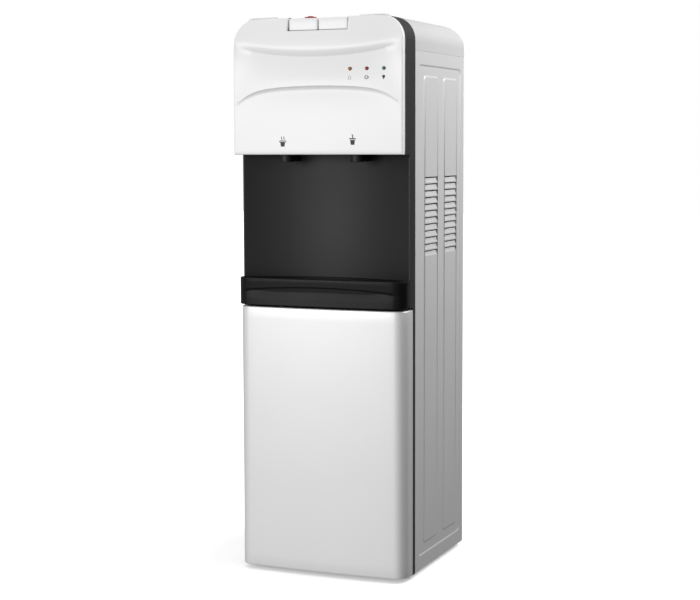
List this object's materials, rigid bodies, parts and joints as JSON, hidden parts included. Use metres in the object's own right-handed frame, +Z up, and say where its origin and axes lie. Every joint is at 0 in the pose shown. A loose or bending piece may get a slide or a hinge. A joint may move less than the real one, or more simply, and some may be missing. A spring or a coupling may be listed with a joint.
{
  "type": "floor-standing water dispenser",
  "caption": "Floor-standing hot and cold water dispenser for a bottle on top, with push buttons, spouts, a pull-out drip tray and a storage cabinet behind a hinged door.",
  "frame": {"origin": "on the floor under the middle of the bounding box", "axes": "+X is to the user's right facing the dispenser, -Y is the front with the buttons and the door, +Z is up"},
  "size_m": [0.31, 0.318, 0.9601],
  "materials": {
    "black_steel": "satin black powder coat",
    "silver_paint": "satin silver-grey paint",
    "galvanised": "dull zinc",
    "bright_steel": "plated steel",
    "black_plastic": "satin moulded",
    "white_plastic": "satin gloss moulded",
    "grey_plastic": "fine satin, light grey",
    "white_matte": "plain moulded",
    "silver_paint_plastic": "silver lacquer",
    "red_plastic": "glossy red",
    "green_plastic": "glossy green",
    "amber_lens": "clear tinted",
    "red_lens": "clear tinted",
    "green_lens": "clear tinted",
    "rubber_black": "matt",
    "black_paint": "gloss black enamel",
    "copper_like": "plain drawn copper",
    "stainless": "brushed",
    "foam": "expanded foam",
    "silicone": "translucent silicone look, opaque",
    "board_green": "lacquered board"
  },
  "bodies": {
    "cabinet": {"base_pan": "black_steel", "feet": "rubber_black", "right_side_panel": "silver_paint", "left_side_panel": "silver_paint", "rear_panel": "galvanised", "case_screws": "bright_steel", "front_frame": "black_plastic", "alcove_panel": "black_plastic", "front_cover": "white_plastic", "top_cover": "grey_plastic", "amber_lens": "amber_lens", "red_lens": "red_lens", "green_lens": "green_lens", "bottle_seat": "grey_plastic", "bottle_guard": "white_matte", "hot_return_spring": "bright_steel", "cold_return_spring": "bright_steel", "hot_tap": "white_matte", "cold_tap": "white_matte", "hot_spout": "black_plastic", "cold_spout": "black_plastic", "button_pivot_pin": "bright_steel", "tray_shelf": "black_plastic", "upper_hinge_pin": "bright_steel", "lower_hinge": "bright_steel", "door_magnet": "black_plastic", "cabinet_liner": "white_matte", "compressor": "black_paint", "compressor_grommets": "rubber_black", "condenser": "black_paint", "delivery_pipe": "copper_like", "cold_tank": "stainless", "evaporator_coil": "copper_like", "cold_tank_insulation": "foam", "tank_bracket": "galvanised", "tank_deck": "galvanised", "hot_tank": "stainless", "heater_band": "stainless", "hot_tank_jacket": "foam", "hot_water_hose": "silicone", "cold_water_hose": "silicone", "feed_hose": "silicone", "drain_outlets": "white_matte", "control_board": "board_green", "cord_gland": "rubber_black", "switch_housing": "black_plastic"},
    "hot_button_body": {"hot_button": "grey_plastic"},
    "cold_button_body": {"cold_button": "grey_plastic"},
    "child_lock_body": {"child_lock": "red_plastic"},
    "hot_push_rod_body": {"hot_push_rod": "white_matte"},
    "cold_push_rod_body": {"cold_push_rod": "white_matte"},
    "tray": {"drip_tray": "black_plastic"},
    "grille": {"drip_grille": "black_plastic"},
    "door": {"door_panel": "silver_paint_plastic", "door_liner": "white_matte"},
    "hot_rocker_body": {"hot_rocker": "red_plastic"},
    "cold_rocker_body": {"cold_rocker": "green_plastic"},
    "hot_cap": {"hot_drain_cap": "black_plastic"},
    "cold_cap": {"cold_drain_cap": "black_plastic"}
  },
  "joints": [
    {"name": "hot_button_press", "type": "hinge", "parent": "cabinet", "child": "hot_button_body", "pos_m": [0, -0.11, 0.949], "axis": [1, 0, 0], "range_deg": [0, 9], "stiffness_Nm_per_rad": 0.16, "springref_deg": -5.73},
    {"name": "cold_button_press", "type": "hinge", "parent": "cabinet", "child": "cold_button_body", "pos_m": [0, -0.11, 0.949], "axis": [1, 0, 0], "range_deg": [0, 9], "stiffness_Nm_per_rad": 0.16, "springref_deg": -5.73},
    {"name": "child_lock_slide", "type": "slide", "parent": "hot_button_body", "child": "child_lock_body", "axis": [0, 1, 0], "range_m": [0, 0.005]},
    {"name": "hot_push_rod_slide", "type": "slide", "parent": "cabinet", "child": "hot_push_rod_body", "axis": [0, 0, -1], "range_m": [0, 0.0045], "deforming": ["hot_return_spring"]},
    {"name": "cold_push_rod_slide", "type": "slide", "parent": "cabinet", "child": "cold_push_rod_body", "axis": [0, 0, -1], "range_m": [0, 0.0045], "deforming": ["cold_return_spring"]},
    {"name": "drip_tray_slide", "type": "slide", "parent": "cabinet", "child": "tray", "axis": [0, -1, 0], "range_m": [0, 0.07]},
    {"name": "drip_grille_lift", "type": "slide", "parent": "tray", "child": "grille", "axis": [0, 0, 1], "range_m": [0, 0.02]},
    {"name": "door_hinge", "type": "hinge", "parent": "cabinet", "child": "door", "pos_m": [-0.147, -0.12, 0.237], "axis": [0, 0, -1], "range_deg": [0, 110]},
    {"name": "hot_rocker_tilt", "type": "hinge", "parent": "cabinet", "child": "hot_rocker_body", "pos_m": [0.0745, 0.1355, 0.812], "axis": [1, 0, 0], "range_deg": [-16, 0]},
    {"name": "cold_rocker_tilt", "type": "hinge", "parent": "cabinet", "child": "cold_rocker_body", "pos_m": [0.0955, 0.1355, 0.812], "axis": [1, 0, 0], "range_deg": [-16, 0]},
    {"name": "hot_drain_cap_pull", "type": "slide", "parent": "cabinet", "child": "hot_cap", "axis": [0, 1, 0], "range_m": [0, 0.02]},
    {"name": "cold_drain_cap_pull", "type": "slide", "parent": "cabinet", "child": "cold_cap", "axis": [0, 1, 0], "range_m": [0, 0.02]}
  ],
  "couplings": [
    {"joint": "hot_push_rod_slide", "follows": "hot_button_press", "m_per_rad": 0.025},
    {"joint": "cold_push_rod_slide", "follows": "cold_button_press", "m_per_rad": 0.025}
  ]
}
